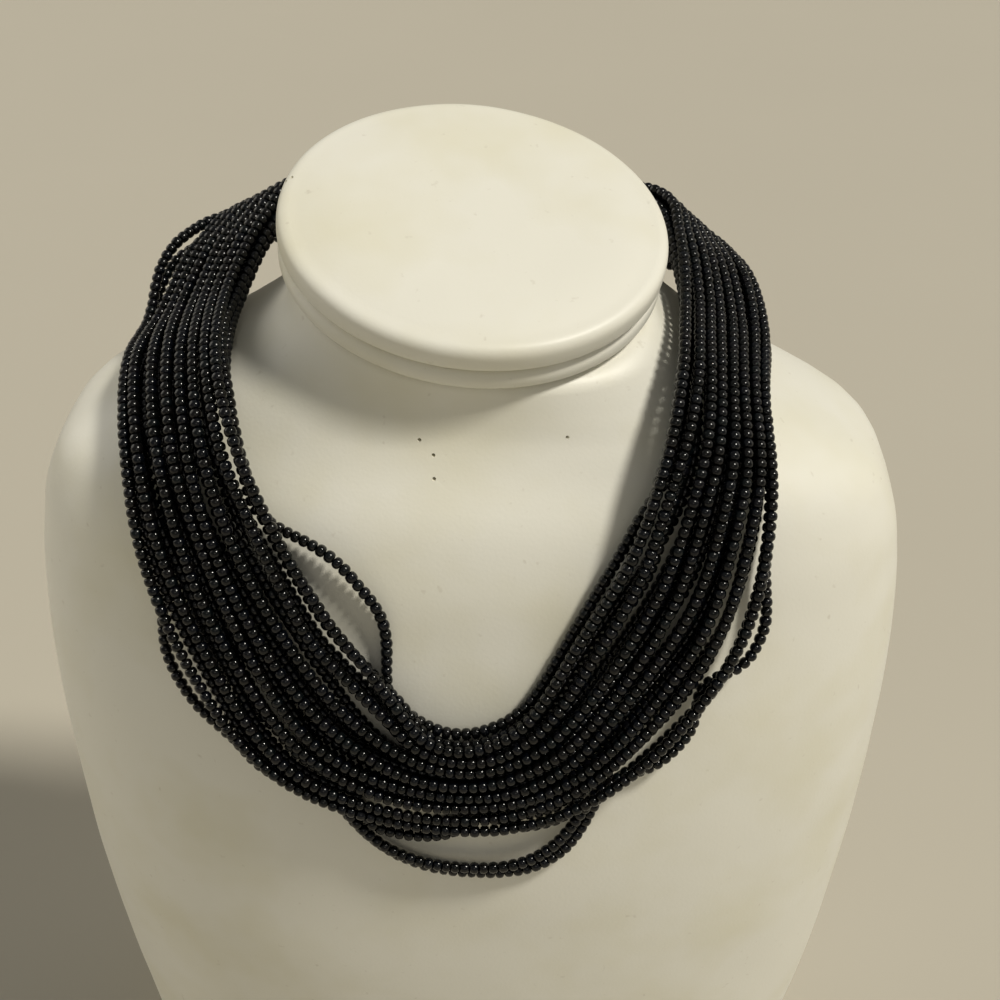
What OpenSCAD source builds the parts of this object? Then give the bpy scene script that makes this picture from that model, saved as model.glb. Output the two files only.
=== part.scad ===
// Statement necklace of 24 seed bead strings, worn by a plain leatherette neck bust.
// The front of the bust faces -Y and +Z is up. The origin is the middle of the flat base.

/* [Bust] */
// Half width of the oval pad that closes the neck
pad_a = 45; // [44:0.5:46]
// Half depth of the oval pad
pad_b = 39.5; // [39:0.5:40.5]
// Forward tilt of the pad, in degrees
pad_tilt = 18; // [16:1:19]
// Sideways tilt of the pad, in degrees, with the +X side lower
pad_side = 6; // [4:1:7]
// Height of the middle of the pad's top above the base
pad_z = 288; // [287:0.5:291]
// Thickness of the padded roll on top
pad_h = 8; // [6:0.5:8]
// Thickness of the thin second roll under it
rim_h = 6; // [5:0.2:6]

/* [Strands] */
// Diameter of each string of beads
strand_d = 2.9; // [2.4:0.1:2.9]
// Spacing of the strings that lie side by side
lane_pitch = 3.25; // [3.22:0.01:3.26]
// Spacing of the layers that lie on each other
layer_pitch = 3.2; // [3.18:0.01:3.26]

/* [Fastening] */
// Diameter of the barrel clasp behind the neck
clasp_d = 7; // [6:0.5:8]
// Length of the barrel clasp
clasp_len = 17.6; // [16:0.2:17.6]
// Wall of the end caps at their mouth
cap_wall = 1; // [0.8:0.1:1.2]
// How deep the strings sit in an end cap
cap_recess = 2.8; // [2.8:0.1:3.2]

/* [Hidden] */

// Gap left between pieces that rest on each other
gap = 0.3;
// Place of the middle of the pad's top over the base
pad_x = 1;
pad_y = 1;
// How much smaller the second roll is all round
rim_inset = 0.3;
// The padded top inside the rolled edge: inset from the edge, height above the roll
PAD_CROWN = [[9, 0.7], [20, 1.2]];
// Steps round the half round edges of the two rolls
pad_edge_steps = 6;
rim_edge_steps = 5;

// Bust, in horizontal sections: height, half width, depth in front, depth behind, and how
// square the front is: 2 is an ellipse, more is squarer
SECTIONS = [
    [0, 92, 54, 50, 2.15],
    [30, 97, 57, 51, 2.15],
    [70, 103.5, 61, 52, 2.15],
    [110, 107.5, 63, 52, 2.15],
    [150, 110, 62, 52, 2.15],
    [180, 110, 58, 52, 2.15],
    [204, 108, 52.5, 51.5, 2.15],
    [220, 104.5, 48, 51, 2.2],
    [232, 97, 42, 49, 2.3],
    [241, 81.5, 34.5, 46.5, 2.6],
    [248, 67.5, 30.5, 43, 2.7],
    [256, 55.5, 29, 40.3, 2.15],
    [265, 45, 29.5, 38.5, 1.95],
    [276, 41.5, 30, 37, 1.95],
    [288, 43, 31, 41, 1.95]
];
Z = 0;
HALF_W = 1;
FRONT = 2;
BACK = 3;
FRONT_POWER = 4;
// How square the back is at all heights
back_power = 3.4;
// Rounding of the edge round the base
base_edge = 1.5;
// Heights of the rings of the bust's skin, and how far each follows the pad's tilt
BUST_RINGS = [
    [1.5, 0], [30, 0], [70, 0], [110, 0], [150, 0], [180, 0], [198, 0], [212, 0], [223, 0],
    [231, 0], [237, 0.05], [242, 0.1], [246, 0.2], [250, 0.35], [254, 0.55], [258, 0.75],
    [262.5, 0.9], [267, 1]
];
bust_sides = 34;

// The bead strings lie on a ribbon that runs from the left end cap over the left shoulder,
// down the chest and back up to the right end cap.
// Its rows: inner edge and outer edge of the middle layer, how far the middle of the row
// stands above the straight line between them, and how far each layer leans to the neck
RIBBON = [
    [[-29, 44.5, 274.5], [-29, 50, 250.5], 0, 0],
    [[-41.5, 37.5, 277], [-59.5, 48.5, 259.5], 0, 0],
    [[-51.5, 25.5, 272], [-73.5, 33, 258], 0, 0.5],
    [[-56, 7, 264], [-80.5, 13, 247.5], 0.5, 0.7],
    [[-54.5, -18, 262], [-82, -8.5, 247], 0.5, 0.7],
    [[-49, -37, 251], [-77.5, -32, 237.5], 1, 0.7],
    [[-40, -46.5, 234], [-72, -44.5, 213.5], 1, 0.7],
    [[-28.5, -53, 214.5], [-61, -55, 192.5], 1, 0.5],
    [[-13, -59, 197.5], [-45, -62, 171], 1, 0.3],
    [[-2, -62.5, 187], [-19, -65, 163.5], 0.5, 0],
    [[8, -62.5, 186], [12, -65, 162], 0.5, 0],
    [[18, -60.5, 193.5], [36, -62.5, 171.5], 0.5, 0],
    [[27, -54.5, 211.5], [56.5, -56, 191], 0.5, 0.5],
    [[38, -49, 232], [68, -49.5, 211], 0.5, 1],
    [[46.5, -38.5, 252], [71.5, -37.5, 237.5], 1.5, 1.7],
    [[50.2, -20.5, 263.5], [70, -14.5, 250.5], 0.5, 2],
    [[51, 2.5, 266.5], [70.5, 11, 254.5], 0, 2],
    [[48, 24.5, 273.5], [65, 34.5, 259], 0, 1],
    [[41.5, 37, 276.5], [53, 48.5, 256], 0, 0],
    [[29, 44.5, 274.5], [29, 50, 250.5], 0, 0]
];
IN = 0;
OUT = 1;
CROWN = 2;
LEAN = 3;
last_row = len(RIBBON) - 1;
// Strings that swing out of the ribbon: layer, lane, middle row, half length in rows,
// distance away from the neck, rise off the layer
LOOSE = [
    [0, 0, 6.95, 1.3, -16, 2.5],
    [0, 1, 8, 0.9, -4.5, 0],
    [0, 6, 9.3, 0.8, 8, 0],
    [0, 6, 10.4, 0.7, 6, 0],
    [0, 7, 6.9, 0.85, 5, 0.3],
    [0, 7, 9.85, 1.4, 17.5, 2.5],
    [0, 7, 11.65, 0.65, 5.5, 0.3],
    [0, 7, 12.95, 0.7, 5, 0.3],
    [1, 0, 8, 0.9, -1, 0],
    [1, 1, 8, 0.9, -2.2, 0],
    [1, 6, 9.35, 0.65, 11, -0.4],
    [1, 6, 10.4, 0.6, 7.5, -0.5],
    [1, 7, 2.2, 1.1, 3, 2],
    [1, 7, 9.8, 1.3, 15, 2],
    [2, 0, 8, 0.9, -0.7, 0],
    [2, 1, 6.1, 1.2, -1.2, 0],
    [2, 1, 8, 0.9, -1.2, 0],
    [2, 7, 2.1, 1.1, 2, 2.6]
];
AWAY = 4;
RISE = 5;
// Rings along a string that stays in the ribbon
strand_rings = 30;
// Distance out of the ribbon past which a string gets more rings, and how many for one
wide_swing = 2;
loose_rings = 3;
lanes = 8;
strand_sides = 8;
// Height of all layers above the rows of the ribbon
layer_lift = 0.3;
// Unevenness of the gaps between neighbouring strings, and extra room at the upper layers' edges
wander = 0.85;
edge_room = 0.45;
// Steps along and across the ribbon for finding directions
step = 0.05;
side_step = 0.02;
// Shape of a swing: how flat its top is, and how much more sudden its rise is
swing_power = 1.5;
rise_power = 3;

// Middle and direction of the band of strings at the end caps
cap_x = 29;
cap_mid = (RIBBON[0][IN] + RIBBON[0][OUT]) / 2;
cap_slant = atan2(RIBBON[0][OUT][1] - RIBBON[0][IN][1], RIBBON[0][IN][2] - RIBBON[0][OUT][2]);
band_half_h = norm(RIBBON[0][OUT] - RIBBON[0][IN]) / 2;
mouth_h = band_half_h + 3.3;
mouth_t = layer_pitch + strand_d / 2 + 2.7;
// Bottom of the mouth, clear of the ends of the strings, which splay
cap_floor = cap_x - 2.3;
cap_tip = 3;
// How square a cap is at its mouth and at its tip
mouth_power = 7;
tip_power = 2;
// Rings between: share of the way to the mouth, how much less than the mouth in height and
// in thickness, and how square
CAP_RINGS = [
    [0.15, 10.4, 3.5, 2],
    [0.4, 5.5, 1.4, 3],
    [0.7, 1.5, 0.4, 4]
];
clasp_edge = 0.8;
clasp_sides = 32;
cap_sides = 20;
pad_sides = 28;

function unit(v) = v / norm(v);

// Curve through b and c that leaves b along a to c and reaches c along b to d
function smooth(a, b, c, d, t) =
    let(out = (c - a) / 2, in = (d - b) / 2)
    (2 * t^3 - 3 * t^2 + 1) * b + (t^3 - 2 * t^2 + t) * out
    + (3 * t^2 - 2 * t^3) * c + (t^3 - t^2) * in;

// Value of one column of the ribbon between its rows
function ribbon(column, x) =
    let(i = max(0, min(floor(x), last_row - 1)))
    smooth(RIBBON[max(i - 1, 0)][column], RIBBON[i][column], RIBBON[i + 1][column],
        RIBBON[min(i + 2, last_row)][column], x - i);

// Point of the middle layer at row x, with u from 0 at the inner edge to 1 at the outer edge
function face(x, u) =
    let(
        inner = ribbon(IN, x),
        outer = ribbon(OUT, x),
        along = ribbon(IN, x + step) + ribbon(OUT, x + step)
            - ribbon(IN, x - step) - ribbon(OUT, x - step),
        off = unit(cross(outer - inner, along))
    )
    inner + (outer - inner) * u + off * 4 * ribbon(CROWN, x) * u * (1 - u);

// Share of the spare width that goes before lane i of a layer
function share(layer, i, x) =
    let(
        rate = 1 + (5 * i + 3 * layer) % 3 + 0.35 * ((7 * i + 2 * layer) % 4),
        turn = rate * x / last_row + 0.37 * i + 0.23 * layer
    )
    1 + wander * sin(360 * turn) + ((i == 0 || i == lanes) ? edge_room * layer : 0);

function sum(list, count) = count == 0 ? 0 : list[count - 1] + sum(list, count - 1);

// Bell curve from 0 at either end of a loose stretch to 1 at its middle
function swell(x, middle, half) =
    let(t = min(1, abs(x - middle) / half))
    1 - (1 - cos(90 * t)^2)^swing_power;

function loose(layer, lane, x, column, power) =
    let(found = [for (l = LOOSE) if (l[0] == layer && l[1] == lane)
        l[column] * swell(x, l[2], l[3])^power])
    sum(found, len(found));

// Place of a string across the ribbon, as a share of the ribbon's width
function across(layer, lane, x) =
    let(
        width = ribbon(OUT, x) - ribbon(IN, x),
        middle = (lane + 0.5) / lanes,
        along = unit(face(x + step, middle) - face(x - step, middle)),
        pitch = lane_pitch / norm(cross(unit(width), along)),
        spare = norm(width) - (lanes - 1) * pitch,
        shares = [for (i = [0 : lanes]) share(layer, i, x)],
        place = lane * pitch + spare * sum(shares, lane + 1) / sum(shares, lanes + 1)
    )
    (place + loose(layer, lane, x, AWAY, 1) - (layer - 1) * ribbon(LEAN, x)) / norm(width);

// Middle line of a string: point and direction off the bust at row x
function strand_point(layer, lane, x) =
    let(
        u = across(layer, lane, x),
        side = face(x, u + side_step) - face(x, u - side_step),
        along = face(x + step, u) - face(x - step, u),
        off = unit(cross(side, along)),
        height = (layer - 1) * layer_pitch + layer_lift + loose(layer, lane, x, RISE, rise_power)
    )
    [face(x, u) + off * height, off];

// Faces of a skin through rings of n points each, closed by the first and the last ring
function skin(rings, n) = concat(
    [[for (i = [0 : n - 1]) i]],
    [for (r = [0 : rings - 2]) for (i = [0 : n - 1])
        let(a = r * n + i, b = r * n + (i + 1) % n)
        each [[a, a + n, b + n], [a, b + n, b]]],
    [[for (i = [n - 1 : -1 : 0]) (rings - 1) * n + i]]
);

function flat(lists) = [for (l = lists) each l];

// Value of one column of the bust's sections at height z
function section(column, z) =
    let(
        rows = len(SECTIONS),
        below = [for (r = [0 : rows - 2]) if (SECTIONS[r][Z] <= z) r],
        i = below[len(below) - 1],
        run = SECTIONS[i + 1][Z] - SECTIONS[i][Z],
        t = (z - SECTIONS[i][Z]) / run
    )
    (2 * t^3 - 3 * t^2 + 1) * SECTIONS[i][column]
    + (t^3 - 2 * t^2 + t) * run * slope(column, i)
    + (3 * t^2 - 2 * t^3) * SECTIONS[i + 1][column]
    + (t^3 - t^2) * run * slope(column, i + 1);

function rise(column, i) =
    (SECTIONS[i + 1][column] - SECTIONS[i][column]) / (SECTIONS[i + 1][Z] - SECTIONS[i][Z]);

// Slope of a column at row i, weighed by the heights of the two steps that meet there
function slope(column, i) =
    let(rows = len(SECTIONS))
    i == 0 ? rise(column, 0)
    : i == rows - 1 ? rise(column, rows - 2)
    : let(below = SECTIONS[i][Z] - SECTIONS[i - 1][Z], above = SECTIONS[i + 1][Z] - SECTIONS[i][Z])
        (rise(column, i - 1) * above + rise(column, i) * below) / (below + above);

function power(value, exponent) = sign(value) * abs(value)^exponent;

function bust_point(z, angle, inset = 0) =
    let(
        front = sin(angle) < 0,
        bend = 2 / (front ? section(FRONT_POWER, z) : back_power),
        depth = section(front ? FRONT : BACK, z) - inset
    )
    [(section(HALF_W, z) - inset) * power(cos(angle), bend), depth * power(sin(angle), bend)];

// Height that the pad's tilt adds at a place on the neck
function tilt_at(p) = p[1] * tan(pad_tilt) / cos(pad_side) - p[0] * tan(pad_side);

function bust_ring(z, follow) =
    [for (i = [0 : bust_sides - 1])
        let(
            angle = 360 * i / bust_sides,
            level = bust_point(z, angle),
            p = bust_point(z + follow * tilt_at(level), angle)
        )
        [p[0], p[1], z + follow * tilt_at(p)]];

// Top of the neck: just under the thin roll
neck_top = pad_z - (pad_h + rim_h + 2 * gap) / cos(pad_tilt) / cos(pad_side)
    - tilt_at([pad_x, pad_y]);

module bust() {
    foot = [for (i = [0 : bust_sides - 1])
        let(p = bust_point(0, 360 * i / bust_sides, base_edge)) [p[0], p[1], 0]];
    rings = concat([foot], [for (r = BUST_RINGS) bust_ring(r[0], r[1])], [bust_ring(neck_top, 1)]);
    color("ivory")
    polyhedron(flat(rings), skin(len(rings), bust_sides));
}

// Oval roll from a profile of inset and height
module oval(profile) {
    rings = [for (p = profile)
        [for (i = [0 : pad_sides - 1])
            let(angle = 360 * i / pad_sides)
            [(pad_a - p[0]) * cos(angle), (pad_b - p[0]) * sin(angle), p[1]]]];
    polyhedron(flat(rings), skin(len(rings), pad_sides));
}

// Half round edge of a roll of thickness h, from its underside to its top
function round_edge(h, steps) =
    [for (i = [0 : steps]) let(a = -90 + 180 * i / steps) [h / 2 * (1 - cos(a)), h / 2 * (1 + sin(a))]];

module on_neck() {
    translate([pad_x, pad_y, pad_z])
    rotate([pad_tilt, pad_side, 0])
    children();
}

module neck_pad() {
    crown = [for (row = PAD_CROWN) [row[0], pad_h + row[1]]];
    color("ivory")
    on_neck()
    translate([0, 0, -pad_h])
    oval(concat(round_edge(pad_h, pad_edge_steps), crown));
}

module neck_rim() {
    color("ivory")
    on_neck()
    translate([0, 0, -pad_h - gap - rim_h])
    oval([for (p = round_edge(rim_h, rim_edge_steps)) [p[0] + rim_inset, p[1]]]);
}

function cap_ring(x, half_h, half_t, square) =
    [for (i = [0 : cap_sides - 1])
        let(angle = 360 * i / cap_sides)
        [x, half_t * power(cos(angle), 2 / square), half_h * power(sin(angle), 2 / square)]];

// Flattened cone that gathers the ends of all strings, open towards them
module end_cap() {
    mouth = cap_floor + cap_recess;
    tip = clasp_len / 2 + gap;
    run = mouth - tip;
    inner_h = mouth_h - cap_wall;
    inner_t = mouth_t - cap_wall;
    rings = [
        cap_ring(tip, cap_tip, cap_tip, tip_power),
        for (r = CAP_RINGS) cap_ring(tip + r[0] * run, mouth_h - r[1], mouth_t - r[2], r[3]),
        cap_ring(mouth, mouth_h, mouth_t, mouth_power),
        cap_ring(mouth, inner_h, inner_t, mouth_power),
        cap_ring(cap_floor, inner_h, inner_t, mouth_power)
    ];
    color("silver")
    translate([0, cap_mid[1], cap_mid[2]])
    rotate([cap_slant, 0, 0])
    polyhedron(flat(rings), skin(len(rings), cap_sides));
}

module clasp() {
    r = clasp_d / 2;
    color("silver")
    translate([-clasp_len / 2, cap_mid[1], cap_mid[2]])
    rotate([0, 90, 0])
    rotate_extrude($fn = clasp_sides)
    polygon([[0, 0], [r - clasp_edge, 0], [r, clasp_edge], [r, clasp_len - clasp_edge],
        [r - clasp_edge, clasp_len], [0, clasp_len]]);
}

// Rows of a string's rings, closer together where it swings out of the ribbon
function strand_rows(layer, lane) =
    let(run = last_row / (strand_rings - 1))
    concat([for (i = [0 : strand_rings - 2])
        let(more = abs(loose(layer, lane, (i + 0.5) * run, AWAY, 1)) > wide_swing ? loose_rings : 1)
        each [for (k = [0 : more - 1]) (i + k / more) * run]], [last_row]);

// One string of beads as a plain tube
module strand(layer, lane) {
    middle = [for (x = strand_rows(layer, lane)) strand_point(layer, lane, x)];
    count = len(middle);
    rings = [for (i = [0 : count - 1])
        let(
            before = middle[max(i - 1, 0)][0],
            after = middle[min(i + 1, count - 1)][0],
            along = unit(after - before),
            off = unit(middle[i][1] - along * (middle[i][1] * along)),
            side = cross(along, off)
        )
        [for (k = [0 : strand_sides - 1])
            let(angle = 360 * k / strand_sides)
            middle[i][0] + strand_d / 2 * (off * cos(angle) + side * sin(angle))]];
    color("black")
    polyhedron(flat(rings), skin(count, strand_sides));
}

bust();
neck_rim();
neck_pad();
mirror([1, 0, 0]) end_cap();  // end_cap_left
end_cap();  // end_cap_right
clasp();
for (lane = [1 : lanes]) {
    strand(0, lane - 1);
    strand(1, lane - 1);
    strand(2, lane - 1);
}
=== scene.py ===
"""Statement necklace of black seed bead strings, worn by a white leatherette neck bust.

Each piece is built in millimetres in the frame's own axes, the front facing -Y and +Z up, and is
turned to metres where its mesh is made. The strings follow the same ribbon of rows as the tubes
that they stand for."""

import math

import bpy
import numpy as np
from mathutils import Matrix, Vector, noise


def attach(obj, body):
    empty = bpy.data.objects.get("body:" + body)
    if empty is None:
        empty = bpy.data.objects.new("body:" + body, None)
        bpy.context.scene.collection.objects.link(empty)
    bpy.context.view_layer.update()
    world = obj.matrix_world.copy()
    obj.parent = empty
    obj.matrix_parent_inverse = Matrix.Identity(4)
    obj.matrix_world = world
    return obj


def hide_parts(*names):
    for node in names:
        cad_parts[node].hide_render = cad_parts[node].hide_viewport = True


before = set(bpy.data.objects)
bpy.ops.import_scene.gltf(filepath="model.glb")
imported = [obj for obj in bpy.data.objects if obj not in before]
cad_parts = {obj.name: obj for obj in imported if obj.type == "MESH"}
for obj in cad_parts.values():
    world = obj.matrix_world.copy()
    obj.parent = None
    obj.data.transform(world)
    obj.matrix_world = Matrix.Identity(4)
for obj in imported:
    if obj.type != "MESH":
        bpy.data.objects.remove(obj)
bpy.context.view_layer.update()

bl_info = {
    "name": "Seed bead necklace on a neck bust",
    "version": (1, 0, 0),
    "blender": (4, 5, 0),
    "location": "3D View > Sidebar > Necklace",
    "description": "Builds the bead strings, the fastening, the covered neck bust and a plain stage",
    "category": "Object",
}

MM = 0.001
SEED = 24

# Bust, in horizontal sections: height, half width, depth in front, depth behind, and how
# square the front is: 2 is an ellipse, more is squarer
SECTIONS = np.array([
    [0, 92, 54, 50, 2.15],
    [30, 97, 57, 51, 2.15],
    [70, 103.5, 61, 52, 2.15],
    [110, 107.5, 63, 52, 2.15],
    [150, 110, 62, 52, 2.15],
    [180, 110, 58, 52, 2.15],
    [204, 108, 52.5, 51.5, 2.15],
    [220, 104.5, 48, 51, 2.2],
    [232, 97, 42, 49, 2.3],
    [241, 81.5, 34.5, 46.5, 2.6],
    [248, 67.5, 30.5, 43, 2.7],
    [256, 55.5, 29, 40.3, 2.15],
    [265, 45, 29.5, 38.5, 1.95],
    [276, 41.5, 30, 37, 1.95],
    [288, 43, 31, 41, 1.95],
])
# How far each height of the bust follows the tilt of the oval top
FOLLOW = np.array([
    [0, 0], [223, 0], [231, 0], [237, 0.05], [242, 0.1], [246, 0.2], [250, 0.35], [254, 0.55],
    [258, 0.75], [262.5, 0.9], [267, 1], [288, 1],
])
# How square the back is at all heights
BACK_POWER = 3.4
BUST_SIDES = 160
BUST_RINGS = 86
BASE_EDGE = 1.5
NECK_EDGE = 2.4

# Oval top: half width, half depth, tilt forward and to the right, middle of its upper face. Both
# of its rolls have a rolled edge: square 2 is half round, more is squarer
PAD_A = 45
PAD_B = 39.5
PAD_TILT = math.radians(18)
PAD_SIDE = math.radians(6)
PAD_MIDDLE = (1, 1, 288)
PAD_THICK = 8
PAD_CROWN = 1.2
PAD_SQUARE = 3
RIM_THICK = 6
RIM_INSET = 0.3
RIM_SQUARE = 2.3
GAP = 0.3
PAD_SIDES = 160
PAD_EDGE_STEPS = 24
PAD_TOP_RINGS = 28
CROWN_RUN = 16
RIM_EDGE_STEPS = 18

# Pins have left holes in the cover: sideways place and height on the front of the neck, and
# place on the oval top in its own axes, with the way in there
NECK_PINS = [(-9, 248), (-5.7, 245), (-5.3, 240.5), (24.6, 249.5)]
PAD_PINS = [(-44, 4.6), (-42.8, 5.45)]
PAD_PIN_WAY = (0.6, -0.1, -1)
COVER_SHARP = math.radians(50)

# Ribbon that the strings lie on, from the left end cap over the left shoulder, down the chest
# and back up: inner edge and outer edge of the middle layer, how far the middle of the row
# stands above the straight line between them, and how far each layer leans to the neck
RIBBON = np.array([
    [-29, 44.5, 274.5, -29, 50, 250.5, 0, 0],
    [-41.5, 37.5, 277, -59.5, 48.5, 259.5, 0, 0],
    [-51.5, 25.5, 272, -73.5, 33, 258, 0, 0.5],
    [-56, 7, 264, -80.5, 13, 247.5, 0.5, 0.7],
    [-54.5, -18, 262, -82, -8.5, 247, 0.5, 0.7],
    [-49, -37, 251, -77.5, -32, 237.5, 1, 0.7],
    [-40, -46.5, 234, -72, -44.5, 213.5, 1, 0.7],
    [-28.5, -53, 214.5, -61, -55, 192.5, 1, 0.5],
    [-13, -59, 197.5, -45, -62, 171, 1, 0.3],
    [-2, -62.5, 187, -19, -65, 163.5, 0.5, 0],
    [8, -62.5, 186, 12, -65, 162, 0.5, 0],
    [18, -60.5, 193.5, 36, -62.5, 171.5, 0.5, 0],
    [27, -54.5, 211.5, 56.5, -56, 191, 0.5, 0.5],
    [38, -49, 232, 68, -49.5, 211, 0.5, 1],
    [46.5, -38.5, 252, 71.5, -37.5, 237.5, 1.5, 1.7],
    [50.2, -20.5, 263.5, 70, -14.5, 250.5, 0.5, 2],
    [51, 2.5, 266.5, 70.5, 11, 254.5, 0, 2],
    [48, 24.5, 273.5, 65, 34.5, 259, 0, 1],
    [41.5, 37, 276.5, 53, 48.5, 256, 0, 0],
    [29, 44.5, 274.5, 29, 50, 250.5, 0, 0],
])
INNER = slice(0, 3)
OUTER = slice(3, 6)
CROWN = 6
LEAN = 7
LAST_ROW = len(RIBBON) - 1
# Strings that swing out of the ribbon: layer, lane, middle row, half length in rows,
# distance away from the neck, rise off the layer
LOOSE = [
    (0, 0, 6.95, 1.3, -16, 2.5),
    (0, 1, 8, 0.9, -4.5, 0),
    (0, 6, 9.3, 0.8, 8, 0),
    (0, 6, 10.4, 0.7, 6, 0),
    (0, 7, 6.9, 0.85, 5, 0.3),
    (0, 7, 9.85, 1.4, 17.5, 2.5),
    (0, 7, 11.65, 0.65, 5.5, 0.3),
    (0, 7, 12.95, 0.7, 5, 0.3),
    (1, 0, 8, 0.9, -1, 0),
    (1, 1, 8, 0.9, -2.2, 0),
    (1, 6, 9.35, 0.65, 11, -0.4),
    (1, 6, 10.4, 0.6, 7.5, -0.5),
    (1, 7, 2.2, 1.1, 3, 2),
    (1, 7, 9.8, 1.3, 15, 2),
    (2, 0, 8, 0.9, -0.7, 0),
    (2, 1, 6.1, 1.2, -1.2, 0),
    (2, 1, 8, 0.9, -1.2, 0),
    (2, 7, 2.1, 1.1, 2, 2.6),
]
# Lanes side by side and layers on each other, how far the middle layer stands off the table's
# rows, how the spare width is spread, and the steps that give directions on the ribbon
LAYERS = ("lower", "middle", "upper")
LANES = 8
LANE_PITCH = 3.25
LAYER_PITCH = 3.2
LAYER_LIFT = 0.3
WANDER = 0.85
EDGE_ROOM = 0.45
STEP = 0.05
SIDE_STEP = 0.02
ROUTE_POINTS = 1600
# Settling: places along each string that are moved, rounds, how far it may stray from its even
# route, how far it sinks in a round, and how many places on either side can touch
STATIONS = 240
ROUNDS = 60
STRAY = 1.4
SINK = 0.03
REACH = 3
# In a round, the share of a bend and of an overlap that is taken out, how deep the lowest layer
# may sink, and the share of the length over which a string passes from held to free at its ends
EASE = 0.2
PUSH = 0.2
LOWEST = 0.2
END_RUN = 0.06
# Bends that each string has of itself: how many, and their size across and off the ribbon
BENDS = 22
BEND_ACROSS = 1.1
BEND_OFF = 0.5

# Fastening behind the neck
CLASP_D = 7
CLASP_LENGTH = 17.6
CAP_MIDDLE = (0, 47.25, 262.5)
CAP_SLANT = math.atan2(5.5, 24)
CAP_FLOOR = 26.7
CAP_RECESS = 2.8
CAP_WALL = 1
MOUTH_H = 15.61
MOUTH_T = 7.35
CAP_SIDES = 56
METAL_SHARP = math.radians(40)

# Camera of the photo: place, what it looks at, roll and lens
CAMERA_AT = (26.6, -357.2, 470.1)
CAMERA_AIM = (9.5, -30, 232)
CAMERA_ROLL = math.radians(1)
LENS = 63
SENSOR = 36
# Distant lamps: name, azimuth, elevation, share of the main lamp's strength, angle, colour
LAMPS = [
    ("main lamp", 68, 58, 1, 9, "FFFAEE"),
    ("front lamp", 5, 32, 0.05, 25, "FFF6E6"),
    ("left lamp", -112, 22, 0.32, 50, "FFF9EC"),
    ("right lamp", 115, 22, 0.12, 50, "FFF9EC"),
]
# Half the side of the floor, in metres
FLOOR_HALF = 4.0


def linear(hex_colour):
    """Linear colour with full alpha of an sRGB hex value."""
    parts = [int(hex_colour[i:i + 2], 16) / 255 for i in (0, 2, 4)]
    return [p / 12.92 if p <= 0.04045 else ((p + 0.055) / 1.055) ** 2.4 for p in parts] + [1]


class BustSettings(bpy.types.PropertyGroup):
    cover: bpy.props.FloatVectorProperty(
        name="Cover", description="Colour of the clean leatherette",
        subtype="COLOR", size=4, min=0, max=1, default=linear("EAE8DD"))
    aged: bpy.props.FloatVectorProperty(
        name="Aged cover", description="Colour where handling and light have yellowed it",
        subtype="COLOR", size=4, min=0, max=1, default=linear("E0DCC6"))
    grain: bpy.props.FloatProperty(
        name="Grain", description="Width of one pebble of the embossed grain",
        unit="LENGTH", default=0.8 * MM, min=0.2 * MM, max=3 * MM)
    softness: bpy.props.FloatProperty(
        name="Softness", description="How far the padding under the cover rises and sinks",
        unit="LENGTH", default=0.35 * MM, min=0, max=1.5 * MM)
    pin_hole: bpy.props.FloatProperty(
        name="Pin hole", description="Diameter of the holes that pins have left",
        unit="LENGTH", default=1.0 * MM, min=0.4 * MM, max=2 * MM)


class StringSettings(bpy.types.PropertyGroup):
    bead_width: bpy.props.FloatProperty(
        name="Bead width", description="Diameter of a seed bead",
        unit="LENGTH", default=2.9 * MM, min=2 * MM, max=3.2 * MM)
    bead_length: bpy.props.FloatProperty(
        name="Bead length", description="Mean length that a bead takes up on its thread",
        unit="LENGTH", default=2.3 * MM, min=1.8 * MM, max=3 * MM)
    hole: bpy.props.FloatProperty(
        name="Hole", description="Hole of a bead as a share of its width",
        subtype="FACTOR", default=0.3, min=0.2, max=0.5)
    sides: bpy.props.IntProperty(
        name="Sides", description="Sides of a bead's mesh", default=12, min=10, max=16)
    unevenness: bpy.props.FloatProperty(
        name="Unevenness", description="Spread of the beads' lengths and widths",
        subtype="FACTOR", default=0.05, min=0, max=0.12)
    thread: bpy.props.FloatProperty(
        name="Thread", description="Diameter of the thread",
        unit="LENGTH", default=0.7 * MM, min=0.3 * MM, max=1 * MM)


class FasteningSettings(bpy.types.PropertyGroup):
    plating: bpy.props.FloatVectorProperty(
        name="Plating", description="Colour of the plated caps and clasp",
        subtype="COLOR", size=4, min=0, max=1, default=linear("C9C6BF"))


class StageSettings(bpy.types.PropertyGroup):
    floor: bpy.props.FloatVectorProperty(
        name="Floor", description="Colour of the floor",
        subtype="COLOR", size=4, min=0, max=1, default=linear("BAB4A6"))
    lamp: bpy.props.FloatProperty(
        name="Lamp", description="Strength of the main lamp", default=2.5, min=0, max=10)
    fill: bpy.props.FloatProperty(
        name="Fill", description="Strength of the light from all round", default=0.2, min=0, max=2)


def unit(vectors):
    return vectors / np.linalg.norm(vectors, axis=-1, keepdims=True)


def hermite(start, out, end, into, t):
    """Curve from start to end that leaves along out and arrives along into."""
    return ((2 * t**3 - 3 * t**2 + 1) * start + (t**3 - 2 * t**2 + t) * out
            + (3 * t**2 - 2 * t**3) * end + (t**3 - t**2) * into)


def ribbon(x):
    """Row of the ribbon at each place x, whole numbers being the rows of the table."""
    i = np.clip(np.floor(x).astype(int), 0, LAST_ROW - 1)
    before, start, end, after = (RIBBON[np.clip(i + k, 0, LAST_ROW)] for k in (-1, 0, 1, 2))
    return hermite(start, (end - before) / 2, end, (after - start) / 2, (x - i)[:, None])


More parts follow.
